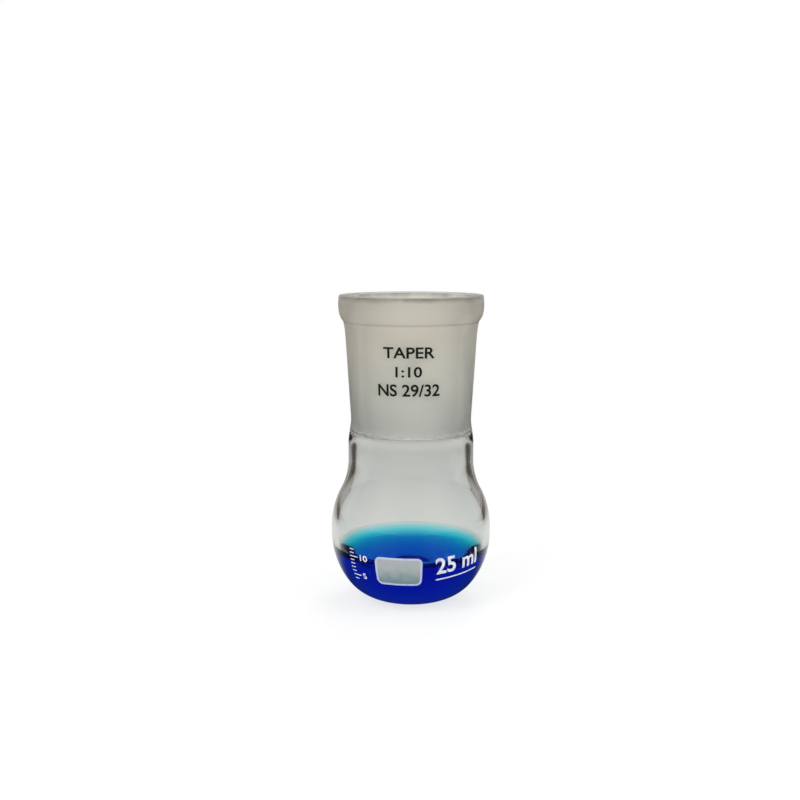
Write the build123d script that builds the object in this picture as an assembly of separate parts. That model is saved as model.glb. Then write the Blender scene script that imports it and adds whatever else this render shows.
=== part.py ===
from build123d import *
from math import asin, atan2, cos, degrees, radians, sin, sqrt
import os

# A small flat-bottomed laboratory flask of blown borosilicate glass, part filled with solution.
# Its neck is a standard ground-glass socket of size 29/32, fused to a short clear neck.
# Frame: millimetres, +Z up along the flask's axis, origin at the centre of the foot's plane.
# Every outline is drawn as (radius, height) and turned about Z.

# --- Driving dimensions, millimetres and degrees ---
HEIGHT = 78.0               # foot to rim

GROUND_TOP_DIA = 29.2       # ground cone, wide end: the 29 of 29/32
GROUND_LENGTH = 32.0        # ground cone, length: the 32 of 29/32
GROUND_TAPER = 0.1          # loss of diameter for each millimetre of depth
GROUND_BELOW_RIM = 1.9      # the ground cone starts this far under the rim
MOUTH_FLARE = 1.1           # the fire-polished mouth opens out by this much above the cone

COLLAR_DIA = 36.7           # reinforcing bead round the mouth, at the middle of its side
COLLAR_SIDE_DIA = 36.4      # the two ends of its slightly crowned side
COLLAR_SIDE_BELOW_RIM = 4.2 # the side's lower end, where the bead turns under
COLLAR_HEIGHT = 6.6         # rim to the crease where the bead meets the socket
COLLAR_CREASE_DIA = 34.2
LIP_ROUND = 0.3             # rounding from the side's upper end to the rim

SOCKET_TOP_DIA = 33.1       # tapered outside of the socket, under the collar's flare
SOCKET_FLARE_HEIGHT = 4.2   # the outside opens out over this height to reach the crease
SOCKET_FOOT_DIA = 30.7      # tapered outside of the socket, at the top of the weld
WELD_FOOT = 40.4            # the neck draws in to the socket between these two heights
WELD_TOP = 47.3
STEP_EDGE_RADIUS = 0.4      # rounded edge where the ground cone ends
STEP_TURN = 80.0            # how far the wall turns out under that edge

NECK_DIA = 32.0             # clear neck, stock tubing
WALL = 1.7                  # neck and bulb
BULB_DIA = 41.0             # the usual size for 25 ml
BULB_HIGH_CENTRE = 18.5     # height of the centre of the bulb's upper half
BULB_LOW_CENTRE = 17.15     # height of the centre of its lower half
FLARE_RADIUS = 16.6         # outside hollow between bulb and neck
HEEL_RADIUS = 12.0          # outside rounding between bulb and foot
BASE_WALL = 2.0             # floor of the bulb
PUNT_DIA = 10.4             # hollow pushed up in the middle of the foot
PUNT_DEPTH = 0.5

LIQUID_LEVEL = 12.3         # height of the flat surface of the solution
MENISCUS_RISE = 2.1         # how far the solution climbs up the wall
MENISCUS_RUN = 3.4          # width of the climb


def on_circle(centre, radius, angle):
    """The point on a circle at an angle in degrees, anticlockwise from the outward direction."""
    return (centre[0] + radius * cos(radians(angle)), centre[1] + radius * sin(radians(angle)))


def heel(inset, floor):
    """Centre, radius and end angle of the rounding between a floor and the bulb's lower half."""
    radius = HEEL_RADIUS - inset
    rise = BULB_LOW_CENTRE - (floor + radius)
    across = sqrt((BULB_DIA / 2 - HEEL_RADIUS) ** 2 - rise ** 2)
    return (across, floor + radius), radius, -degrees(atan2(rise, across))


def lower_bulb(inset, floor, top_angle=0.0):
    """Outline from a floor, round the heel and up the bulb's lower half to an angle."""
    heel_centre, heel_radius, heel_end = heel(inset, floor)
    return [
        CenterArc(heel_centre, heel_radius, -90, heel_end + 90),
        CenterArc((0, BULB_LOW_CENTRE), BULB_DIA / 2 - inset, heel_end, top_angle - heel_end),
    ]


def upper_bulb(inset, neck_top):
    """Outline from the bulb's widest line up its upper half, round the flare and up the neck."""
    bulb_radius = BULB_DIA / 2 - inset
    neck_radius = NECK_DIA / 2 - inset
    flare_radius = FLARE_RADIUS + inset
    across = neck_radius + flare_radius
    rise = sqrt((bulb_radius + flare_radius) ** 2 - across ** 2)
    turn = degrees(atan2(rise, across))
    flare_centre = (across, BULB_HIGH_CENTRE + rise)
    return [
        Line((bulb_radius, BULB_LOW_CENTRE), (bulb_radius, BULB_HIGH_CENTRE)),
        CenterArc((0, BULB_HIGH_CENTRE), bulb_radius, 0, turn),
        CenterArc(flare_centre, flare_radius, 180 + turn, -turn),
        Line((neck_radius, flare_centre[1]), (neck_radius, neck_top)),
    ]


def foot():
    """Underside of the flask: a shallow punt inside the flat ring that it stands on."""
    ring_outer = heel(0, 0)[0][0]
    punt_radius = ((PUNT_DIA / 2) ** 2 + PUNT_DEPTH ** 2) / (2 * PUNT_DEPTH)
    punt_turn = degrees(asin(PUNT_DIA / 2 / punt_radius))
    return [
        CenterArc((0, PUNT_DEPTH - punt_radius), punt_radius, 90, -punt_turn),
        Line((PUNT_DIA / 2, 0), (ring_outer, 0)),
    ]


def socket_outside():
    """Outline of the weld, the socket's tapered outside, the collar bead and the rim's rounding."""
    crease = HEIGHT - COLLAR_HEIGHT
    cone_foot = (SOCKET_FOOT_DIA / 2, WELD_TOP)
    cone_top = (SOCKET_TOP_DIA / 2, crease - SOCKET_FLARE_HEIGHT)
    cone_slope = (cone_top[0] - cone_foot[0], cone_top[1] - cone_foot[1])
    bead_foot = (COLLAR_CREASE_DIA / 2, crease)
    side_low = (COLLAR_SIDE_DIA / 2, HEIGHT - COLLAR_SIDE_BELOW_RIM)
    side_top = (COLLAR_SIDE_DIA / 2, HEIGHT - LIP_ROUND)
    bead_side = ThreePointArc(side_low, (COLLAR_DIA / 2, (side_low[1] + side_top[1]) / 2), side_top)
    return [
        Spline([(NECK_DIA / 2, WELD_FOOT), cone_foot], tangents=[(0, 1), cone_slope]),
        Line(cone_foot, cone_top),
        TangentArc(cone_top, bead_foot, tangent=cone_slope),
        TangentArc(side_low, bead_foot, tangent=-(bead_side % 0)),
        bead_side,
        CenterArc((COLLAR_SIDE_DIA / 2 - LIP_ROUND, HEIGHT - LIP_ROUND), LIP_ROUND, 0, 90),
    ]


def socket_inside():
    """Outline of the rim's land, the flared mouth, the ground cone and the step out to the neck."""
    ground_top = HEIGHT - GROUND_BELOW_RIM
    ground_foot = ground_top - GROUND_LENGTH
    top_radius = GROUND_TOP_DIA / 2
    foot_radius = top_radius - GROUND_LENGTH * GROUND_TAPER / 2
    mouth_edge = top_radius + MOUTH_FLARE
    land = Line((COLLAR_SIDE_DIA / 2 - LIP_ROUND, HEIGHT), (mouth_edge, HEIGHT))
    mouth = EllipticalCenterArc((mouth_edge, ground_top), MOUTH_FLARE, GROUND_BELOW_RIM, 90, arc_size=90)
    cone = Line((top_radius, ground_top), (foot_radius, ground_foot))

    turned_by_edge = STEP_EDGE_RADIUS * (1 - cos(radians(STEP_TURN)))
    step_out = NECK_DIA / 2 - WALL - foot_radius
    hollow_radius = (step_out - turned_by_edge) / (1 - cos(radians(STEP_TURN)))
    edge_centre = (foot_radius + STEP_EDGE_RADIUS, ground_foot)
    edge = CenterArc(edge_centre, STEP_EDGE_RADIUS, 180, STEP_TURN)
    hollow_centre = on_circle(edge_centre, STEP_EDGE_RADIUS + hollow_radius, 180 + STEP_TURN)
    hollow = CenterArc(hollow_centre, hollow_radius, STEP_TURN, -STEP_TURN)
    return [land, mouth, cone, edge, hollow]


def turned(edges):
    """A solid of revolution about Z from a closed (radius, height) outline."""
    return revolve(Plane.XZ * make_face(edges), Axis.Z)


def make_flask():
    """The whole flask: one piece of glass."""
    inside = socket_inside()
    neck_top = (inside[-1] @ 1).Y
    floor_edge = heel(WALL, BASE_WALL)[0][0]
    return turned(
        foot()
        + lower_bulb(0, 0)
        + upper_bulb(0, WELD_FOOT)
        + socket_outside()
        + inside
        + upper_bulb(WALL, neck_top)
        + lower_bulb(WALL, BASE_WALL)
        + [Line((floor_edge, BASE_WALL), (0, BASE_WALL)), Line((0, BASE_WALL), (0, PUNT_DEPTH))]
    )


def make_solution():
    """The solution: it covers the bulb's floor and climbs the wall in a meniscus."""
    bulb_radius = BULB_DIA / 2 - WALL
    contact_angle = degrees(asin((LIQUID_LEVEL + MENISCUS_RISE - BULB_LOW_CENTRE) / bulb_radius))
    flat_edge = bulb_radius * cos(radians(contact_angle)) - MENISCUS_RUN
    climb_radius = (MENISCUS_RUN ** 2 + MENISCUS_RISE ** 2) / (2 * MENISCUS_RISE)
    climb_turn = degrees(asin(MENISCUS_RUN / climb_radius))
    floor_edge = heel(WALL, BASE_WALL)[0][0]
    return turned(
        [Line((0, BASE_WALL), (floor_edge, BASE_WALL))]
        + lower_bulb(WALL, BASE_WALL, contact_angle)
        + [
            CenterArc((flat_edge, LIQUID_LEVEL + climb_radius), climb_radius, -90, climb_turn),
            Line((flat_edge, LIQUID_LEVEL), (0, LIQUID_LEVEL)),
            Line((0, LIQUID_LEVEL), (0, BASE_WALL)),
        ]
    )


os.makedirs("parts", exist_ok=True)
for node, solid in {"flask": make_flask(), "blue_solution": make_solution()}.items():
    export_step(solid, f"parts/{node}.step")
    box = solid.bounding_box()
    print(f"{node}: volume {solid.volume / 1000:.2f} ml, z {box.min.Z:.2f} to {box.max.Z:.2f}")
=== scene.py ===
# %% [markdown]
# # A small flat-bottomed flask with a ground-glass socket, modelled as a glassblower makes it
#
# The real thing is one piece of blown borosilicate glass: a flat-bottomed bulb, a short clear neck and a
# socket whose inside is ground to a standard taper, so that any cone of the same size seals in it. A blue
# solution covers the floor of the bulb, and a few marks are fired on in enamel.
#
# Everything here is a turned form, so nearly every mesh comes from one idea: draw half of the section,
# then turn it about the axis. The looks then depend on what is around the glass, because clear glass shows
# nothing but its surroundings, bent.

from math import asin, atan2, cos, degrees, pi, radians, sin, sqrt

import bmesh
import bpy
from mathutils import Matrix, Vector


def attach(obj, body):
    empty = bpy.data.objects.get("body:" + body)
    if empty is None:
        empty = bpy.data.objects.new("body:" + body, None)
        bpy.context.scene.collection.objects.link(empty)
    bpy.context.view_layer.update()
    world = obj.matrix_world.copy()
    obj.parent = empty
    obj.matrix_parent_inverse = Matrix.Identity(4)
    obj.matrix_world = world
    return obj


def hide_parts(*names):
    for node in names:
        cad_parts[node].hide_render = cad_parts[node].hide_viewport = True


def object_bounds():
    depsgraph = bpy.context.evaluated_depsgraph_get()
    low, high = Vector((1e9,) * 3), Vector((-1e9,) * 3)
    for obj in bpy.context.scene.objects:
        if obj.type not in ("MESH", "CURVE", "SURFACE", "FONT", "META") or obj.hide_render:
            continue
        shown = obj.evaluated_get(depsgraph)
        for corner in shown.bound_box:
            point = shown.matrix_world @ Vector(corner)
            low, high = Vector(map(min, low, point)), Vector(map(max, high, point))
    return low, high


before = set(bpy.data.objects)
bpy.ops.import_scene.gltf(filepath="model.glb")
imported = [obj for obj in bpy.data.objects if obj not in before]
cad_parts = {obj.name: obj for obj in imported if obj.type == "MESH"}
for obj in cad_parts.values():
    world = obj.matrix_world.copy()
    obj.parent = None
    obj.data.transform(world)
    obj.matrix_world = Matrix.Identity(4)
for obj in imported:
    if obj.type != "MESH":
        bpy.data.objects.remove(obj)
cad_low, cad_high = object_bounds()
MM = 0.001
print("CAD box, mm:", [round(v / MM, 2) for v in (*cad_low, *cad_high)])

# %% [markdown]
# ## The camera
#
# The camera stands a forearm's length away, a little above the rim, and looks slightly down. Its lens and
# distance together set how strongly the near and far edges of each ring open up, so they are fixed first:
# a longer lens from further off would make the same size of flask with flatter ellipses.

# %% Place the camera
CAMERA_DISTANCE = 265.8 * MM        # from the flask's axis
CAMERA_ABOVE_RIM = 12.9 * MM
CAMERA_DOWN = 8.49                  # degrees below level
CAMERA_SIDE = -2.8 * MM             # so the flask stands a little right of the middle
CAMERA_LENS = 47.41                 # on a sensor 36 wide

camera_data = bpy.data.cameras.new("camera")
camera_data.lens = CAMERA_LENS
camera_data.sensor_width = 36
camera_data.clip_start = 0.01
camera = bpy.data.objects.new("camera", camera_data)
bpy.context.scene.collection.objects.link(camera)
camera.location = (CAMERA_SIDE, -CAMERA_DISTANCE, cad_high[2] + CAMERA_ABOVE_RIM)
camera.rotation_euler = (radians(90 - CAMERA_DOWN), 0, 0)
bpy.context.scene.camera = camera
print("camera at, mm:", [round(v / MM, 1) for v in camera.location])

# %% [markdown]
# ## Sizes
#
# The socket is a standard joint, and its name gives its sizes: 29/32 is a ground cone that is 29.2 mm wide
# at its wide end and 32 mm long, and every such cone tapers 1 in 10. The other sizes follow from the tubing
# and the bulb. All are in millimetres here and turned into metres where the outline is drawn.

# %% Sizes of the flask and its contents, in millimetres
HEIGHT = cad_high[2] / MM           # foot to rim
BULB_RADIUS = 20.5
NECK_RADIUS = 16.0
WALL = 1.7
BASE_WALL = 2.0
BULB_LOW_CENTRE = 17.15
BULB_HIGH_CENTRE = 18.5
FLARE_RADIUS = 16.6
HEEL_RADIUS = 12.0
PUNT_RADIUS = 5.2
PUNT_DEPTH = 0.5

GROUND_TOP_RADIUS = 14.6
GROUND_LENGTH = 32.0
GROUND_TAPER = 0.05                 # loss of radius for each millimetre of depth
GROUND_BELOW_RIM = 1.9
MOUTH_FLARE = 1.1

COLLAR_RADIUS = 18.35               # the middle of the bead's crowned side
COLLAR_SIDE_RADIUS = 18.2           # and its two ends
COLLAR_SIDE_BELOW_RIM = 4.2
COLLAR_HEIGHT = 6.6
CREASE_RADIUS = 17.1
LIP_ROUND = 0.3
SOCKET_TOP_RADIUS = 16.55
SOCKET_FLARE_HEIGHT = 4.2
SOCKET_FOOT_RADIUS = 15.35
WELD_FOOT = 40.4
WELD_TOP = 47.3
STEP_EDGE_RADIUS = 0.4
STEP_TURN = 80.0

LIQUID_LEVEL = 12.3
MENISCUS_RISE = 2.1
MENISCUS_RUN = 3.4

ground_top = HEIGHT - GROUND_BELOW_RIM
ground_foot = ground_top - GROUND_LENGTH
print("ground zone from", round(ground_foot, 1), "to", round(ground_top, 1), "mm above the foot")

# %% [markdown]
# ## Drawing the section
#
# A section is a chain of straight stretches and arcs, as (radius, height) pairs. Arcs get one point for
# every 0.35 mm or so, or every few degrees where they are tight: that is what keeps refraction smooth,
# since each facet of a glass surface would show as a crack of light.

# %% Helpers for arcs and straight stretches
ARC_STEP = 0.35                     # between points on an arc,
ARC_TURN = 6.0                      # unless this turn, in degrees, comes sooner
LINE_STEP = 0.8                     # between points on a straight stretch
SAME_POINT = 1e-4                   # points closer than this are one


def arc(centre, radius, start, turn):
    """Points on an arc, from a start angle through a turn, in degrees."""
    steps = max(3, round(abs(radians(turn)) * radius / ARC_STEP), round(abs(turn) / ARC_TURN))
    angles = [radians(start + turn * i / steps) for i in range(steps + 1)]
    return [(centre[0] + radius * cos(a), centre[1] + radius * sin(a)) for a in angles]


def line(start, end, step=LINE_STEP):
    """Points on a straight stretch."""
    steps = max(1, round(sqrt((end[0] - start[0]) ** 2 + (end[1] - start[1]) ** 2) / step))
    return [tuple(start[k] + (end[k] - start[k]) * i / steps for k in (0, 1)) for i in range(steps + 1)]


# %% Arcs that pass through three points, or leave one in a direction
def arc_through(first, middle, last):
    """Points on the arc through three points."""
    (ax, ay), (bx, by), (cx, cy) = first, middle, last
    d = 2 * (ax * (by - cy) + bx * (cy - ay) + cx * (ay - by))
    a2, b2, c2 = ax * ax + ay * ay, bx * bx + by * by, cx * cx + cy * cy
    centre = ((a2 * (by - cy) + b2 * (cy - ay) + c2 * (ay - by)) / d,
              (a2 * (cx - bx) + b2 * (ax - cx) + c2 * (bx - ax)) / d)
    start = degrees(atan2(ay - centre[1], ax - centre[0]))
    end = degrees(atan2(cy - centre[1], cx - centre[0]))
    return arc(centre, sqrt((ax - centre[0]) ** 2 + (ay - centre[1]) ** 2), start, end - start)


def arc_leaving(start, direction, end):
    """Points on the arc that leaves a point in a direction and ends at another."""
    chord = (end[0] - start[0], end[1] - start[1])
    half = atan2(direction[0] * chord[1] - direction[1] * chord[0],
                 direction[0] * chord[0] + direction[1] * chord[1])
    radius = sqrt(chord[0] ** 2 + chord[1] ** 2) / (2 * sin(half))
    scale = radius / sqrt(direction[0] ** 2 + direction[1] ** 2)
    centre = (start[0] - direction[1] * scale, start[1] + direction[0] * scale)
    angle = degrees(atan2(start[1] - centre[1], start[0] - centre[0]))
    return arc(centre, abs(radius), angle, 2 * degrees(half))


# %% A smooth blend, and a chain of stretches
def blend(start, start_slope, end, end_slope, steps=24):
    """Points on a smooth curve that leaves and arrives along given directions."""
    points = []
    for i in range(steps + 1):
        t = i / steps
        weights = (2 * t**3 - 3 * t**2 + 1, t**3 - 2 * t**2 + t, 3 * t**2 - 2 * t**3, t**3 - t**2)
        points.append(tuple(sum(w * v[k] for w, v in zip(weights, (start, start_slope, end, end_slope)))
                            for k in (0, 1)))
    return points


def chain(*stretches):
    """Joins stretches end to end, dropping points that repeat."""
    points = []
    for stretch in stretches:
        for point in stretch:
            if not points or abs(point[0] - points[-1][0]) + abs(point[1] - points[-1][1]) > SAME_POINT:
                points.append(point)
    return points


# %% [markdown]
# ## The flask's section
#
# The same two functions draw the outside and the inside of the bulb: the inside is the outside moved in by
# the wall. Only the socket differs, because its inside is ground and its outside is drawn tubing.

# %% Outline of the bulb and neck, at an inset from the outside
def heel(inset, floor):
    """Centre, radius and end angle of the rounding between a floor and the bulb's lower half."""
    radius = HEEL_RADIUS - inset
    rise = BULB_LOW_CENTRE - (floor + radius)
    across = sqrt((BULB_RADIUS - HEEL_RADIUS) ** 2 - rise**2)
    return (across, floor + radius), radius, -degrees(atan2(rise, across))


def lower_bulb(inset, floor, top_angle=0.0):
    """Points from a floor, round the heel and up the bulb's lower half to an angle."""
    centre, radius, end = heel(inset, floor)
    return chain(arc(centre, radius, -90, end + 90),
                 arc((0, BULB_LOW_CENTRE), BULB_RADIUS - inset, end, top_angle - end))


def upper_bulb(inset, neck_top):
    """Points from the bulb's widest line up its upper half, round the flare and up the neck."""
    bulb, neck, flare = BULB_RADIUS - inset, NECK_RADIUS - inset, FLARE_RADIUS + inset
    rise = sqrt((bulb + flare) ** 2 - (neck + flare) ** 2)
    turn = degrees(atan2(rise, neck + flare))
    centre = (neck + flare, BULB_HIGH_CENTRE + rise)
    return chain(line((bulb, BULB_LOW_CENTRE), (bulb, BULB_HIGH_CENTRE)),
                 arc((0, BULB_HIGH_CENTRE), bulb, 0, turn),
                 arc(centre, flare, 180 + turn, -turn),
                 line((neck, centre[1]), (neck, neck_top)))


# %% Outline of the socket, outside and inside
def socket_outside():
    """Points up the weld, the tapered outside, the bead and the rim's rounding."""
    crease = HEIGHT - COLLAR_HEIGHT
    foot, top = (SOCKET_FOOT_RADIUS, WELD_TOP), (SOCKET_TOP_RADIUS, crease - SOCKET_FLARE_HEIGHT)
    slope = (top[0] - foot[0]) / (top[1] - foot[1])
    weld_height = WELD_TOP - WELD_FOOT
    weld = blend((NECK_RADIUS, WELD_FOOT), (0, weld_height), foot, (slope * weld_height, weld_height))
    flare = arc_leaving(top, (slope, 1), (CREASE_RADIUS, crease))
    low, high = HEIGHT - COLLAR_SIDE_BELOW_RIM, HEIGHT - LIP_ROUND
    middle = (COLLAR_RADIUS, (low + high) / 2)
    side = arc_through((COLLAR_SIDE_RADIUS, low), middle, (COLLAR_SIDE_RADIUS, high))
    downwards = (side[0][0] - side[1][0], side[0][1] - side[1][1])
    underside = arc_leaving(side[0], downwards, (CREASE_RADIUS, crease))
    rounding = arc((COLLAR_SIDE_RADIUS - LIP_ROUND, high), LIP_ROUND, 0, 90)
    return chain(weld, line(foot, top), flare, reversed(underside), side, rounding)


def mouth():
    """Points from the rim's land over the flared mouth to the top of the ground cone."""
    edge = GROUND_TOP_RADIUS + MOUTH_FLARE
    curve = [(edge + MOUTH_FLARE * cos(radians(a)), ground_top + GROUND_BELOW_RIM * sin(radians(a)))
             for a in range(90, 181, 6)]
    return chain(line((COLLAR_SIDE_RADIUS - LIP_ROUND, HEIGHT), (edge, HEIGHT)), curve)


def step_under_ground():
    """Points round the edge under the ground cone and out to the neck's inner wall."""
    foot_radius = GROUND_TOP_RADIUS - GROUND_LENGTH * GROUND_TAPER
    share = 1 - cos(radians(STEP_TURN))
    hollow = (NECK_RADIUS - WALL - foot_radius - STEP_EDGE_RADIUS * share) / share
    edge_centre = (foot_radius + STEP_EDGE_RADIUS, ground_foot)
    reach, angle = STEP_EDGE_RADIUS + hollow, radians(180 + STEP_TURN)
    hollow_centre = (edge_centre[0] + reach * cos(angle), edge_centre[1] + reach * sin(angle))
    return chain(arc(edge_centre, STEP_EDGE_RADIUS, 180, STEP_TURN),
                 arc(hollow_centre, hollow, STEP_TURN, -STEP_TURN))


# %% The whole section, from the middle of the punt round to the middle of the floor inside
punt_sphere = (PUNT_RADIUS**2 + PUNT_DEPTH**2) / (2 * PUNT_DEPTH)
punt_turn = degrees(asin(PUNT_RADIUS / punt_sphere))
punt = arc((0, PUNT_DEPTH - punt_sphere), punt_sphere, 90, -punt_turn)
outside = chain(punt, line((PUNT_RADIUS, 0), (heel(0, 0)[0][0], 0)),
                lower_bulb(0, 0), upper_bulb(0, WELD_FOOT), socket_outside())
ground = line((GROUND_TOP_RADIUS, ground_top),
              (GROUND_TOP_RADIUS - GROUND_LENGTH * GROUND_TAPER, ground_foot))
under = step_under_ground()
inside = chain(mouth(), ground, under,
               reversed(chain(lower_bulb(WALL, BASE_WALL), upper_bulb(WALL, under[-1][1]))),
               line((heel(WALL, BASE_WALL)[0][0], BASE_WALL), (0, BASE_WALL)))
flask_section = chain(outside, inside)
print("section points:", len(flask_section), "of them outside:", len(outside))

# %% [markdown]
# ## The solution's section
#
# A liquid in glass has no gap of air between it and the wall. If its mesh stopped short of the glass, or lay
# exactly on it, light would meet a thin film of air there and the wall would turn silver. So the section is
# drawn a tenth of a millimetre into the wall, and light passes straight from glass to liquid. At the edge of
# the level the surface climbs the wall in a curve, the meniscus.

# %% Outline of the solution
INTO_WALL = 0.1


def meniscus():
    """Points from the wall down the meniscus and along the level to the axis."""
    radius = (MENISCUS_RISE**2 + MENISCUS_RUN**2) / (2 * MENISCUS_RISE)
    turn = degrees(asin(MENISCUS_RUN / radius))
    contact_height = LIQUID_LEVEL + MENISCUS_RISE
    contact_radius = sqrt((BULB_RADIUS - WALL) ** 2 - (BULB_LOW_CENTRE - contact_height) ** 2)
    foot = contact_radius - MENISCUS_RUN
    return chain(reversed(arc((foot, LIQUID_LEVEL + radius), radius, -90, turn)),
                 line((foot, LIQUID_LEVEL), (0, LIQUID_LEVEL)))


contact = meniscus()[0]
inset, floor_height = WALL - INTO_WALL, BASE_WALL - INTO_WALL
contact_angle = degrees(asin((contact[1] - BULB_LOW_CENTRE) / (BULB_RADIUS - WALL + INTO_WALL)))
solution_section = chain(line((0, floor_height), (heel(inset, floor_height)[0][0], floor_height)),
                         lower_bulb(inset, floor_height, contact_angle), meniscus())
print("solution points:", len(solution_section), "contact at", [round(v, 2) for v in contact])

# %% [markdown]
# ## Turning a section into a piece
#
# Spin or a Screw modifier would turn an outline too. A small Geometry Nodes tree is used instead, because
# the rule stays readable and one tree serves every turned piece: a grid has one row for each point of the
# section and one column for each step round the axis, and each of its points is moved to its place. Merging
# the points that meet closes the seam and both poles.

# %% Helper that adds and wires a node
def add_node(tree, kind, inputs=None, **settings):
    """Adds a node, sets its properties, and fills or wires its inputs by name or number."""
    node = tree.nodes.new(kind)
    for key, value in settings.items():
        setattr(node, key, value)
    for key, value in (inputs or {}).items():
        if isinstance(value, bpy.types.NodeSocket):
            tree.links.new(value, node.inputs[key])
        else:
            node.inputs[key].default_value = value
    return node


def math_node(tree, operation, *values):
    """One Math node; returns its output."""
    return add_node(tree, "ShaderNodeMath", dict(enumerate(values)), operation=operation).outputs[0]


# %% Geometry Nodes tree that turns a section about the axis
def turning_tree():
    tree = bpy.data.node_groups.new("turn a section", "GeometryNodeTree")
    sockets = tree.interface
    sockets.new_socket("Section", in_out="INPUT", socket_type="NodeSocketGeometry")
    sockets.new_socket("Steps round", in_out="INPUT", socket_type="NodeSocketInt")
    sockets.new_socket("Merge distance", in_out="INPUT", socket_type="NodeSocketFloat")
    sockets.new_socket("Finish", in_out="INPUT", socket_type="NodeSocketMaterial")
    sockets.new_socket("Piece", in_out="OUTPUT", socket_type="NodeSocketGeometry")
    given = tree.nodes.new("NodeGroupInput").outputs

    rows = add_node(tree, "GeometryNodeAttributeDomainSize", {0: given["Section"]}).outputs["Point Count"]
    columns = math_node(tree, "ADD", given["Steps round"], 1.0)
    grid = add_node(tree, "GeometryNodeMeshGrid", {"Vertices X": rows, "Vertices Y": columns}).outputs[0]
    index = tree.nodes.new("GeometryNodeInputIndex").outputs[0]
    row, column = (add_node(tree, "FunctionNodeIntegerMath", {0: index, 1: columns}, operation=how).outputs[0]
                   for how in ("DIVIDE_FLOOR", "MODULO"))

    place = tree.nodes.new("GeometryNodeInputPosition").outputs[0]
    sample = add_node(tree, "GeometryNodeSampleIndex", data_type="FLOAT_VECTOR", domain="POINT")
    tree.links.new(given["Section"], sample.inputs["Geometry"])
    tree.links.new(place, sample.inputs["Value"])
    tree.links.new(row, sample.inputs["Index"])
    half = add_node(tree, "ShaderNodeSeparateXYZ", {0: sample.outputs["Value"]}).outputs
    angle = math_node(tree, "DIVIDE", math_node(tree, "MULTIPLY", column, 2 * pi), given["Steps round"])
    x = math_node(tree, "MULTIPLY", half["X"], math_node(tree, "COSINE", angle))
    y = math_node(tree, "MULTIPLY", half["X"], math_node(tree, "SINE", angle))
    turned_place = add_node(tree, "ShaderNodeCombineXYZ", {"X": x, "Y": y, "Z": half["Z"]}).outputs[0]

    surface = add_node(tree, "GeometryNodeSetPosition",
                       {"Geometry": grid, "Position": turned_place}).outputs[0]
    closed = add_node(tree, "GeometryNodeMergeByDistance",
                      {"Geometry": surface, "Distance": given["Merge distance"]}).outputs[0]
    whole = add_node(tree, "GeometryNodeRealizeInstances", {0: closed}).outputs[0]
    done = add_node(tree, "GeometryNodeSetMaterial",
                    {"Geometry": whole, "Material": given["Finish"]}).outputs[0]
    add_node(tree, "NodeGroupOutput", {"Piece": done})
    return tree


turn_a_section = turning_tree()
print("nodes in the turning tree:", len(turn_a_section.nodes))

# %% Helpers that put a mesh into the scene and face it outwards
STEPS_ROUND = 192
MERGE = 1e-6                        # metres
SHARP_EDGE = 35.0                   # degrees


def new_object(name, mesh):
    """An object that shows a mesh, linked to the scene."""
    thing = bpy.data.objects.new(name, mesh)
    bpy.context.scene.collection.objects.link(thing)
    return thing


def face_outwards(mesh):
    """Turns every face of a closed mesh outwards and shades it smooth but for its sharp edges."""
    work = bmesh.new()
    work.from_mesh(mesh)
    bmesh.ops.recalc_face_normals(work, faces=work.faces)
    if work.calc_volume(signed=True) < 0:
        bmesh.ops.reverse_faces(work, faces=work.faces)
    open_edges = sum(1 for edge in work.edges if len(edge.link_faces) != 2)
    print(f"  {mesh.name}: {len(work.faces)} faces, {open_edges} open edges,",
          f"{work.calc_volume() / MM**3 / 1000:.2f} ml")
    work.to_mesh(mesh)
    work.free()
    mesh.shade_smooth()
    mesh.set_sharp_from_angle(angle=radians(SHARP_EDGE))


# %% Helper that turns a section into a piece
def turned_piece(name, section, finish):
    """The closed mesh that a section in millimetres sweeps round the axis."""
    outline = bpy.data.meshes.new(name)
    outline.from_pydata([(r * MM, 0, z * MM) for r, z in section],
                        [(i, i + 1) for i in range(len(section) - 1)], [])
    piece = new_object(name, outline)
    lathe = piece.modifiers.new("turning", "NODES")
    lathe.node_group = turn_a_section
    wanted = {"Steps round": STEPS_ROUND, "Merge distance": MERGE, "Finish": finish}
    for socket in turn_a_section.interface.items_tree:
        if socket.in_out == "INPUT" and socket.name in wanted:
            lathe[socket.identifier] = wanted[socket.name]
    evaluated = piece.evaluated_get(bpy.context.evaluated_depsgraph_get())
    mesh = bpy.data.meshes.new_from_object(evaluated)
    piece.modifiers.clear()
    piece.data = mesh
    bpy.data.meshes.remove(outline)
    mesh.name = name
    mesh.materials.clear()
    mesh.materials.append(finish)
    face_outwards(mesh)
    return piece


# %% [markdown]
# ## Materials
#
# Four finishes are enough. Clear glass and the solution are both a Principled shader with full transmission:
# they differ in how strongly they bend light (their index) and in the colour that the liquid takes out of it
# with depth. The ground zone is the same glass with its surface broken into grain. The marks are enamel.
#
# All patterns read Object coordinates. Every piece sits at the origin, so those are simply metres from the
# middle of the foot.

# %% Helpers for materials
def new_finish(name):
    """A material with a Principled shader; returns it, its tree and that shader."""
    finish = bpy.data.materials.new(name)
    finish.use_nodes = True
    return finish, finish.node_tree, finish.node_tree.nodes["Principled BSDF"]


def place_on(tree):
    """Where the shaded point lies on its object, in metres."""
    return add_node(tree, "ShaderNodeTexCoord").outputs["Object"]


def height_on(tree):
    """How high the shaded point lies, in metres."""
    return add_node(tree, "ShaderNodeSeparateXYZ", {0: place_on(tree)}).outputs["Z"]


def colour_between(tree, factor, first, second):
    """A colour between two others, which are given or wired in."""
    first, second = ((*c, 1) if isinstance(c, tuple) else c for c in (first, second))
    mix = add_node(tree, "ShaderNodeMix", {"Factor": factor, 6: first, 7: second}, data_type="RGBA")
    return mix.outputs[2]


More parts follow.
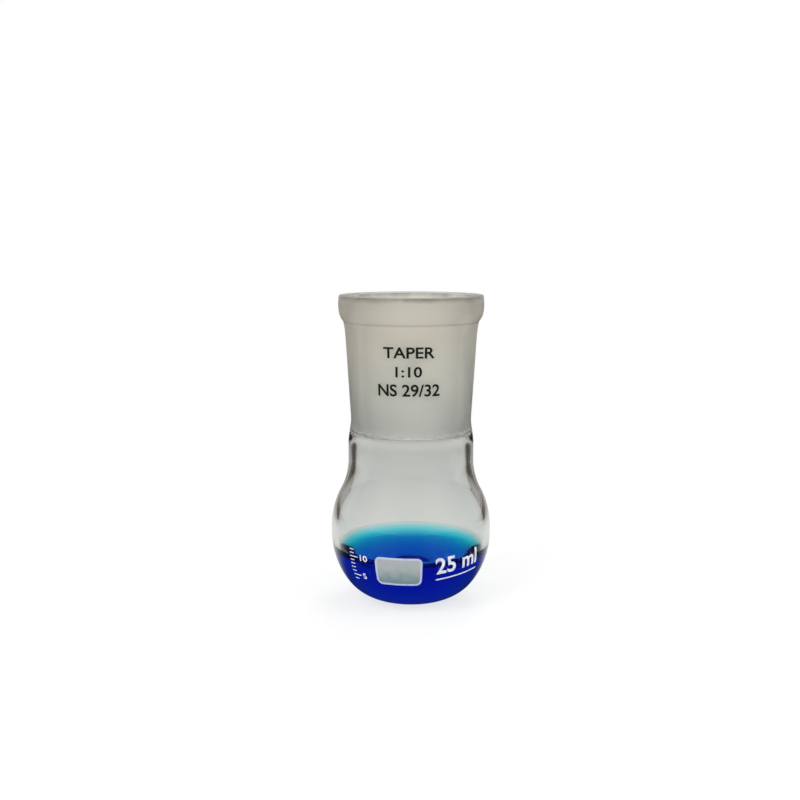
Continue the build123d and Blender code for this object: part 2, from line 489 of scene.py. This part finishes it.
def grain(tree, size, detail=2.0, stretch=(1, 1, 1)):
    """A noise value whose features are about a given size, in metres."""
    scaled = add_node(tree, "ShaderNodeMapping", {"Vector": place_on(tree), "Scale": stretch}).outputs[0]
    noise = add_node(tree, "ShaderNodeTexNoise", {"Vector": scaled, "Scale": 1 / size, "Detail": detail})
    return noise.outputs[0]


def remapped(tree, value, low, high, start=0.0, end=1.0):
    """A value carried from one range to another."""
    return add_node(tree, "ShaderNodeMapRange", {"Value": value, "From Min": start, "From Max": end,
                                                 "To Min": low, "To Max": high}).outputs[0]


def bumped(tree, shader, height, distance, strength):
    """Gives a shader a bump from a height value."""
    normal = add_node(tree, "ShaderNodeBump", {"Height": height, "Distance": distance, "Strength": strength})
    tree.links.new(normal.outputs[0], shader.inputs["Normal"])


# %% Clear glass: drawn tubing waves a little, and the crease under the bead gets a line of painted shade
GLASS_INDEX = 1.473                 # borosilicate
# The first tone is painted shade for the crease under the bead, the second the glass's own tint.
PAINTED_CREASE_SHADE, GLASS_TONE = (0.72, 0.67, 0.60), (0.985, 0.99, 0.985)
blown_glass, tree, shader = new_finish("blown_glass")
crease = (HEIGHT - COLLAR_HEIGHT) * MM
# Painted shade: the base colour darkens within about half a millimetre of the crease.
from_crease = math_node(tree, "ABSOLUTE", math_node(tree, "SUBTRACT", height_on(tree), crease))
off_painted_crease = remapped(tree, from_crease, 0.0, 1.0, 0.1 * MM, 0.45 * MM)
tree.links.new(colour_between(tree, off_painted_crease, PAINTED_CREASE_SHADE, GLASS_TONE), shader.inputs["Base Color"])
shader.inputs["IOR"].default_value = GLASS_INDEX
shader.inputs["Transmission Weight"].default_value = 1.0
handled = grain(tree, 0.006, 3.0)
tree.links.new(remapped(tree, handled, 0.0, 0.05, 0.45, 0.75), shader.inputs["Roughness"])
bumped(tree, shader, grain(tree, 0.009, 1.0, (1, 1, 0.35)), 0.0002, 0.03)

# %% Ground glass: the same glass, its surface cut to fine grit, so light is scattered and some thrown back
# The grit's warm grey tint, with painted light and shade by height: brightest in the middle of the zone,
# darker at its foot, darkest at the rim.
GROUND_TINT_AND_PAINTED_SHADE = ((0.0, (0.73, 0.735, 0.70)), (0.12, (0.745, 0.75, 0.71)),     # from the cone's foot
                (0.35, (0.85, 0.85, 0.79)), (0.62, (0.85, 0.825, 0.75)),
                (0.95, (0.73, 0.70, 0.625)), (1.0, (0.31, 0.297, 0.265)))    # to the rim
ground_glass, tree, shader = new_finish("ground_glass")
shader.inputs["IOR"].default_value = GLASS_INDEX
shader.inputs["Transmission Weight"].default_value = 0.3
shader.inputs["Roughness"].default_value = 0.65
climb = remapped(tree, height_on(tree), 0.0, 1.0, ground_foot * MM, HEIGHT * MM)
climb = math_node(tree, "ADD", climb, remapped(tree, grain(tree, 0.007, 3.0), -0.025, 0.025, 0.3, 0.7))
# Painted light and shade: the base colour follows the height, with a little random spread.
tones = add_node(tree, "ShaderNodeValToRGB", {"Fac": climb})
ramp = tones.color_ramp.elements
for at, colour in GROUND_TINT_AND_PAINTED_SHADE:
    stop = ramp[0] if at == 0 else ramp[-1] if at == 1 else ramp.new(at)
    stop.color = (*colour, 1)
tree.links.new(tones.outputs["Color"], shader.inputs["Base Color"])
bumped(tree, shader, grain(tree, 0.00025, 2.0), 0.00005, 0.6)

# %% Blue solution: an aqueous dye, which lets blue through and takes red out within a few millimetres
WATER_INDEX = 1.333
ABSORPTION = 1400.0                 # per metre, of what the dye's colour leaves out
DYE = (0, 0.9, 0.9905)
blue_dye, tree, shader = new_finish("blue_dye")
shader.inputs["Base Color"].default_value = (1, 1, 1, 1)
shader.inputs["IOR"].default_value = WATER_INDEX
shader.inputs["Transmission Weight"].default_value = 1.0
shader.inputs["Roughness"].default_value = 0.0
dye = add_node(tree, "ShaderNodeVolumeAbsorption", {"Color": (*DYE, 1), "Density": ABSORPTION})
tree.links.new(dye.outputs[0], tree.nodes["Material Output"].inputs["Volume"])
bumped(tree, shader, grain(tree, 0.012, 1.0), 0.0001, 0.1)

# %% Enamels: fired-on colour with a slight orange-peel and tiny pinholes
def enamel(name, thin, full):
    """Enamel whose colour varies from where it was laid thin to where it was laid full."""
    finish, tree, shader = new_finish(name)
    shader.inputs["Roughness"].default_value = 0.35
    cover = remapped(tree, grain(tree, 0.0009, 3.0), 0.0, 1.0, 0.35, 0.62)
    tree.links.new(colour_between(tree, cover, thin, full), shader.inputs["Base Color"])
    bumped(tree, shader, grain(tree, 0.0004, 2.0), 0.00002, 0.4)
    return finish


white_enamel = enamel("white_enamel", (0.52, 0.55, 0.66), (0.78, 0.80, 0.84))
border_enamel = enamel("border_enamel", (0.42, 0.46, 0.62), (0.54, 0.58, 0.74))
dark_enamel = enamel("dark_enamel", (0.006, 0.014, 0.005), (0.002, 0.006, 0.002))

# %% Patch enamel: a thin matt coat to write on, with the solution behind it painted in as a darker blue towards its lower edge
PATCH_LOW_PAINTED_SOLUTION, PATCH_HIGH = (0.11, 0.22, 0.25), (0.36, 0.39, 0.39)
patch_enamel, tree, shader = new_finish("patch_enamel")
shader.inputs["Roughness"].default_value = 0.6
# Painted: the colour darkens to the solution's blue towards the lower edge, standing in for the liquid seen
# through the coat.
painted_solution_fade = remapped(tree, height_on(tree), 0.0, 1.0, 8.2 * MM, 13.0 * MM)
painted_solution_fade = math_node(tree, "ADD", painted_solution_fade, remapped(tree, grain(tree, 0.002, 3.0), -0.15, 0.15, 0.3, 0.7))
tree.links.new(colour_between(tree, painted_solution_fade, PATCH_LOW_PAINTED_SOLUTION, PATCH_HIGH), shader.inputs["Base Color"])
bumped(tree, shader, grain(tree, 0.0003, 2.0), 0.00002, 0.5)
print("finishes:", [m.name for m in bpy.data.materials])

# %% [markdown]
# ## The flask
#
# One closed mesh, outside and inside together, as the real one is one piece of glass. The faces of the ground
# cone get the second finish. Two separate shells would look alike from outside, but light would then cross
# two more surfaces at the joint between them.

# %% Turn the flask, and give its ground zone the second finish
GROUND_SHORT_OF_RIM = 0.3           # the grit runs out just under the rim,
GROUND_ROUND_EDGE = 0.35            # goes most of the way round the edge under the cone,
GROUND_MARGIN = 0.05                # and takes in faces this far outside the cone
flask = turned_piece("flask_glass", flask_section, blown_glass)
flask.data.materials.append(ground_glass)
ground_slot = flask.data.materials.find(ground_glass.name)
ground_faces = 0
for face in flask.data.polygons:
    x, y, z = face.center / MM
    limit = GROUND_TOP_RADIUS + (MOUTH_FLARE if z > ground_top else GROUND_MARGIN)
    if ground_foot - GROUND_ROUND_EDGE < z < HEIGHT - GROUND_SHORT_OF_RIM and sqrt(x * x + y * y) < limit:
        face.material_index = ground_slot
        ground_faces += 1
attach(flask, "root")
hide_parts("flask")
print("ground faces:", ground_faces)

# %% Turn the solution
solution = turned_piece("solution", solution_section, blue_dye)
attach(solution, "root")
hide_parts("blue_solution")

# %% [markdown]
# ## Marks fired on the glass
#
# Each mark starts flat, in millimetres, with its middle or its left end at zero. It is cut into small pieces,
# because a large flat face can't bend, and then wrapped: across becomes angle round the axis, and up becomes
# height, with the radius read from the flask's own section. A thin body under each mark makes it a closed
# coat of enamel, its underside just inside the glass.

# %% The outside radius at a height
CLEAR_OF_FOOT = 0.3                 # the foot itself has many radii at one height
outside_by_height = [(z, r) for r, z in outside if z > CLEAR_OF_FOOT]


def outside_radius(height):
    """The flask's outside radius at a height, from its own section."""
    for (low, first), (high, second) in zip(outside_by_height, outside_by_height[1:]):
        if low <= height <= high and high > low:
            return first + (second - first) * (height - low) / (high - low)
    raise ValueError(f"no outside at {height}")


# %% Cut a flat mark into small pieces, so that it can bend
MARK_CELL = 0.4                     # size of the pieces it is cut into
MARK_PROUD = 0.03                   # its top stands this far out of the glass,
MARK_UNDER = 0.02                   # and its underside this far in


def cut_fine(work):
    """Cuts a flat mesh along a square net."""
    for axis in (0, 1):
        low = min(v.co[axis] for v in work.verts)
        high = max(v.co[axis] for v in work.verts)
        normal = (1, 0, 0) if axis == 0 else (0, 1, 0)
        for i in range(1, int((high - low) / MARK_CELL) + 1):
            at = [0.0, 0.0, 0.0]
            at[axis] = low + i * MARK_CELL
            bmesh.ops.bisect_plane(work, geom=work.verts[:] + work.edges[:] + work.faces[:],
                                   plane_co=at, plane_no=normal)


# %% The mark itself: a thin closed coat on the glass
def fired_on(name, work, azimuth, height, finish, slope=0.0, lean=0.0):
    """Wraps a flat mark, in millimetres, on the glass with its zero at an azimuth and a height."""
    bmesh.ops.remove_doubles(work, verts=work.verts, dist=SAME_POINT)
    bmesh.ops.dissolve_degenerate(work, dist=SAME_POINT, edges=work.edges)
    cut_fine(work)
    shell = bmesh.ops.extrude_face_region(work, geom=work.faces[:], use_keep_orig=True)
    under = {v for v in shell["geom"] if isinstance(v, bmesh.types.BMVert)}
    reference = outside_radius(height)
    for vert in work.verts:
        across, up = vert.co.x, vert.co.y
        z = height + up + slope * across
        radius = outside_radius(z) + (-MARK_UNDER if vert in under else MARK_PROUD)
        angle = radians(azimuth) + (across - lean * up) / reference
        vert.co = (radius * sin(angle) * MM, -radius * cos(angle) * MM, z * MM)
    mesh = bpy.data.meshes.new(name)
    work.to_mesh(mesh)
    work.free()
    mesh.materials.append(finish)
    mark = new_object(name, mesh)
    face_outwards(mesh)
    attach(mark, "root")
    return mark


# %% Lettering as a flat mesh
TEXT_STEPS = 5                      # for each bend; with many more, a thickened outline crosses itself


def lettering(words, width, height, bold):
    """Words as a flat mesh, its left end and baseline at zero, fitted to a width and a height."""
    curve = bpy.data.curves.new(words, "FONT")
    curve.body = words
    curve.offset = bold
    curve.resolution_u = TEXT_STEPS
    text = new_object("text", curve)
    evaluated = text.evaluated_get(bpy.context.evaluated_depsgraph_get())
    mesh = bpy.data.meshes.new_from_object(evaluated)
    work = bmesh.new()
    work.from_mesh(mesh)
    bpy.data.objects.remove(text)
    across, up = [v.co.x for v in work.verts], [v.co.y for v in work.verts]
    left, right, low, high = min(across), max(across), min(up), max(up)
    for vert in work.verts:
        vert.co = ((vert.co.x - left) * width / (right - left),
                   (vert.co.y - low) * height / (high - low), 0)
    return work


# %% Rectangles with round corners, and how an outline is filled
CORNER_TURN = 15                    # degrees between points on a round corner


def rounded(width, height, radius):
    """A rectangle's outline with round corners, about its middle."""
    points = []
    for right, up, start in ((1, 1, 0), (-1, 1, 90), (-1, -1, 180), (1, -1, 270)):
        x, y = right * (width / 2 - radius), up * (height / 2 - radius)
        points += [(x + radius * cos(radians(start + a)), y + radius * sin(radians(start + a)))
                   for a in range(0, 91, CORNER_TURN)]
    return points


def filled(outer, inner=()):
    """A flat mesh between an outline and, where one is given, an inner outline with as many points."""
    work = bmesh.new()
    edge = [work.verts.new((x, y, 0)) for x, y in outer]
    if inner:
        hole = [work.verts.new((x, y, 0)) for x, y in inner]
        for i in range(len(edge)):
            j = (i + 1) % len(edge)
            work.faces.new((edge[i], edge[j], hole[j], hole[i]))
    else:
        work.faces.new(edge)
    return work


# %% The writing patch: a thin matt field inside a brighter border
PATCH_WIDTH, PATCH_HEIGHT, PATCH_CORNER, PATCH_BORDER = 11.6, 7.4, 1.4, 0.5
PATCH_AZIMUTH, PATCH_MIDDLE = -9.3, 11.9
patch_edge = rounded(PATCH_WIDTH, PATCH_HEIGHT, PATCH_CORNER)
patch_inner = rounded(PATCH_WIDTH - 2 * PATCH_BORDER, PATCH_HEIGHT - 2 * PATCH_BORDER,
                      PATCH_CORNER - PATCH_BORDER)
fired_on("patch_border", filled(patch_edge, patch_inner), PATCH_AZIMUTH, PATCH_MIDDLE,
         border_enamel)
fired_on("patch_field", filled(patch_inner), PATCH_AZIMUTH, PATCH_MIDDLE, patch_enamel)

# %% The capacity mark and the rule under it, which climb slightly to the right
CAPACITY_SLOPE, CAPACITY_LEAN = 0.09, 0.16
MARK_BOLD, SOCKET_BOLD = 0.02, 0.018    # how far the letters are thickened, for letters one unit high
fired_on("capacity_mark", lettering("25 ml", 12.2, 4.3, MARK_BOLD), 18.2, 11.0,
         white_enamel, CAPACITY_SLOPE, CAPACITY_LEAN)
fired_on("capacity_rule", filled(rounded(12.6, 0.35, 0.15)), 36.8, 10.1,
         white_enamel, CAPACITY_SLOPE)

# %% Level marks: a tick for every millilitre, at the height where the bulb really holds it
def millilitres(height):
    """What the bulb holds up to a height, in millilitres, from its own section."""
    wall = [(z, r) for r, z in chain(lower_bulb(WALL, BASE_WALL), upper_bulb(WALL, WELD_FOOT))]
    total = 0.0
    for (low, first), (high, second) in zip(wall, wall[1:]):
        if low >= height:
            break
        share = min(1.0, (height - low) / (high - low)) if high > low else 1.0
        top = first + (second - first) * share
        total += pi * (high - low) * share * (first * first + first * top + top * top) / 3
    return total / 1000


def height_for(volume):
    """The height up to which the bulb holds a volume."""
    low, high = BASE_WALL, WELD_FOOT
    for _ in range(40):
        middle = (low + high) / 2
        low, high = (middle, high) if millilitres(middle) < volume else (low, middle)
    return low


TICKS = range(4, 13)                # millilitres
TICK_AZIMUTH, NUMBER_AZIMUTH = -48.0, -38.5
TICK_LONG, TICK_SHORT, TICK_THICK = 2.6, 1.4, 0.24
NUMBER_HEIGHT = 1.6
for volume in TICKS:
    length = TICK_LONG if volume % 5 == 0 else TICK_SHORT
    tick = filled([(x + length / 2, y) for x, y in rounded(length, TICK_THICK, 0.11)])
    fired_on(f"tick_{volume}", tick, TICK_AZIMUTH, height_for(volume), white_enamel)
for volume, width in ((5, 1.0), (10, 2.2)):
    fired_on(f"number_{volume}", lettering(str(volume), width, NUMBER_HEIGHT, MARK_BOLD), NUMBER_AZIMUTH,
             height_for(volume) - NUMBER_HEIGHT / 2, white_enamel)
print("ticks from", round(height_for(TICKS[0]), 1), "to", round(height_for(TICKS[-1]), 1), "mm; level at",
      round(millilitres(LIQUID_LEVEL), 1), "ml")

# %% The joint's size on the socket, with its taper spelled out above
SOCKET_LINES = (("joint_size", "NS 29/32", 15.3, 3.0, -30.4, 54.3),
                ("taper_ratio", "1:10", 6.4, 2.6, -14.0, 59.0),
                ("taper_word", "TAPER", 12.6, 2.7, -24.5, 63.6))
for name, words, width, capital, azimuth, baseline in SOCKET_LINES:
    fired_on(name, lettering(words, width, capital, SOCKET_BOLD), azimuth, baseline,
             dark_enamel)
print("lines on the socket:", [words for _, words, *_ in SOCKET_LINES])

# %% [markdown]
# ## Stage and light
#
# Clear glass has almost no look of its own: what is seen is the room, bent. A small vessel on pure white
# would vanish, so the ground and the room have other tones that only rays in the glass see. The ground is
# pale behind the flask, nearly black in front of it and a dark brown in its four corners. The room is grey,
# and nearly black to rays that have bounced inside the wall. The edges of the vessel bend the dark places
# into view, and that draws its outline. Seen directly, ground and room stay white.

# %% Tones of the ground and the room, where 1 is white
SEEN_THROUGH = 0.52                 # the room, straight through the glass
SEEN_MIRRORED = 0.45                # the room, mirrored off the outside
SEEN_DARK = 0.02                    # the room after a bounce inside the wall, and the ground in front
SEEN_SIDEWAYS = 0.33                # the room after such a bounce, towards its corners
SEEN_OVERHEAD = 0.5                 # and overhead
GIVEN_LIGHT = 0.62                  # how much the room lights matt surfaces
IN_GLASS_AHEAD = 2.4                # how much it all lights the ground zone from the front and the back,
IN_GLASS_ASIDE = 0.15               # and from the two sides


# %% Helpers that pick a tone by the kind of ray and where it goes
def mixed(tree, factor, first, second):
    """A number between two others."""
    mix = add_node(tree, "ShaderNodeMix", {"Factor": factor, 2: first, 3: second}, data_type="FLOAT")
    return mix.outputs[0]


def eased(tree, value, start, end):
    """0 below a start, 1 above an end, and smooth between."""
    return add_node(tree, "ShaderNodeMapRange", {"Value": value, "From Min": start, "From Max": end},
                    interpolation_type="SMOOTHSTEP").outputs[0]


def size_of(tree, value):
    """A number without its sign."""
    return math_node(tree, "ABSOLUTE", value)


def into_corner(tree, xyz):
    """How far out towards a corner: the smaller of the distances along X and along Y."""
    return math_node(tree, "MINIMUM", size_of(tree, xyz["X"]), size_of(tree, xyz["Y"]))


def in_the_glass(tree, path):
    """1 for rays that the glass has bent or mirrored."""
    return math_node(tree, "MAXIMUM", path["Is Glossy Ray"], path["Is Transmission Ray"])


def tone_in_glass(tree, path, through, after_bounce, aside):
    """What a ray sees straight through the glass, after a bounce, or scattered by the ground zone."""
    bounced = math_node(tree, "MINIMUM", path["Glossy Depth"], 1.0)
    scattered = math_node(tree, "MINIMUM", path["Diffuse Depth"], 1.0)
    given = mixed(tree, eased(tree, aside, 0.1, 0.9), IN_GLASS_AHEAD, IN_GLASS_ASIDE)
    return mixed(tree, scattered, mixed(tree, bounced, through, after_bounce), given)


# %% What the room looks like, by direction
world = bpy.data.worlds.new("studio")
bpy.context.scene.world = world
world.use_nodes = True
tree = world.node_tree
path = add_node(tree, "ShaderNodeLightPath").outputs
toward = add_node(tree, "ShaderNodeTexCoord").outputs["Generated"]
toward = add_node(tree, "ShaderNodeSeparateXYZ", {0: toward}).outputs
overhead = eased(tree, toward["Z"], 0.45, 0.95)
sideways = eased(tree, into_corner(tree, toward), 0.30, 0.45)
in_wall = mixed(tree, overhead, mixed(tree, sideways, SEEN_DARK, SEEN_SIDEWAYS), SEEN_OVERHEAD)
after_bounce = mixed(tree, path["Is Transmission Ray"], SEEN_MIRRORED, in_wall)
in_glass = tone_in_glass(tree, path, SEEN_THROUGH, after_bounce, size_of(tree, toward["X"]))
strength = mixed(tree, in_the_glass(tree, path), GIVEN_LIGHT, in_glass)
strength = mixed(tree, path["Is Camera Ray"], strength, 1.0)
tree.links.new(strength, tree.nodes["Background"].inputs["Strength"])
tree.nodes["Background"].inputs["Color"].default_value = (1, 1, 1, 1)
print("nodes in the world:", len(tree.nodes))

# %% The floor, which catches the flask's shadow
FLOOR_RADIUS = 2.0                  # metres
FLOOR_BELOW = 0.2 * MM              # so that floor and foot don't share a plane
floor_mesh = bpy.data.meshes.new("floor")
work = bmesh.new()
bmesh.ops.create_circle(work, cap_ends=True, radius=FLOOR_RADIUS, segments=96)
work.to_mesh(floor_mesh)
work.free()
floor = new_object("floor", floor_mesh)
floor.location.z = -FLOOR_BELOW

# %% What the ground looks like, by distance from the flask and by side, in metres
SHADOW_NEAR, SHADOW_FAR = 0.05, 0.14        # the shadow fades out between these two
SHADOW_SHARE = 0.30                         # and this much of the ground is matt within them
CORNER_START, CORNER_END = 0.090, 0.108
CORNER_TONES = (0.07, 0.28, 0.33, 0.50)     # each: near tone, far tone, and where they start and end
THROUGH_TONES = (0.72, SEEN_THROUGH, 0.06, 0.22)
IN_WALL_TONES = (0.62, 0.40, 0.09, 0.15)
MIRRORED_TONES = (0.90, 0.40, 0.09, 0.15)
GROUND_SHADE, CORNER_SHADE = (0.99, 1, 0.955), (1, 0.86, 0.70)
WHITE = (1, 1, 1)

floor_finish, tree, shader = new_finish("floor")
tree.nodes.remove(shader)
path = add_node(tree, "ShaderNodeLightPath").outputs
bent = in_the_glass(tree, path)
place = place_on(tree)
away = add_node(tree, "ShaderNodeVectorMath", {0: place}, operation="LENGTH").outputs["Value"]
across = add_node(tree, "ShaderNodeSeparateXYZ", {0: place}).outputs
behind = eased(tree, across["Y"], 0.0, 0.03)
near, far, start, end = CORNER_TONES
corners = eased(tree, into_corner(tree, across), CORNER_START, CORNER_END)
corner_tone = mixed(tree, eased(tree, away, start, end), near, far)
through, in_wall, mirrored = (mixed(tree, corners, remapped(tree, away, *tones), corner_tone)
                              for tones in (THROUGH_TONES, IN_WALL_TONES, MIRRORED_TONES))
in_wall, mirrored = (mixed(tree, behind, SEEN_DARK, tone) for tone in (in_wall, mirrored))
after_bounce = mixed(tree, path["Is Transmission Ray"], mirrored, in_wall)
aside = math_node(tree, "DIVIDE", size_of(tree, across["X"]), away)
in_glass = tone_in_glass(tree, path, through, after_bounce, aside)
shade = colour_between(tree, bent, WHITE, colour_between(tree, corners, GROUND_SHADE, CORNER_SHADE))

# %% Ground that glows where it is seen, and is matt where it catches light and shadow
plain = mixed(tree, eased(tree, away, SHADOW_NEAR, SHADOW_FAR), 1 - SHADOW_SHARE, 1.0)
shows = mixed(tree, bent, math_node(tree, "MULTIPLY", path["Is Camera Ray"], plain), 1.0)
glow = add_node(tree, "ShaderNodeEmission", {"Color": shade, "Strength": mixed(tree, bent, 1.0, in_glass)})
matt = add_node(tree, "ShaderNodeBsdfDiffuse", {"Color": (0.94, 0.94, 0.94, 1)})
both = add_node(tree, "ShaderNodeMixShader", {0: shows, 1: matt.outputs[0], 2: glow.outputs[0]})
tree.links.new(both.outputs[0], tree.nodes["Material Output"].inputs["Surface"])
floor_mesh.materials.append(floor_finish)
print("nodes in the floor's finish:", len(tree.nodes))

# %% Soft lamps, seen by nothing but what they light
LAMP_AIM = (0, 0, 0.04)             # the middle of the flask


def softbox(name, place, size, power):
    """A square soft lamp at a place, turned to the flask."""
    lamp = bpy.data.lights.new(name, "AREA")
    lamp.size = size
    lamp.energy = power
    thing = bpy.data.objects.new(name, lamp)
    bpy.context.scene.collection.objects.link(thing)
    thing.location = place
    thing.rotation_euler = (Vector(LAMP_AIM) - Vector(place)).to_track_quat("-Z", "Y").to_euler()
    thing.visible_camera = thing.visible_glossy = thing.visible_transmission = False


softbox("key", (-0.45, -0.45, 0.55), 0.45, 3.2)
softbox("fill", (0.55, -0.25, 0.45), 0.45, 1.8)
softbox("back", (0.15, 0.55, 0.55), 0.35, 2.0)

# %% Render settings that glass needs, and the plain view transform
scene = bpy.context.scene
scene.view_settings.view_transform = "Standard"
scene.cycles.max_bounces = 32
scene.cycles.transmission_bounces = 28
scene.cycles.glossy_bounces = 8
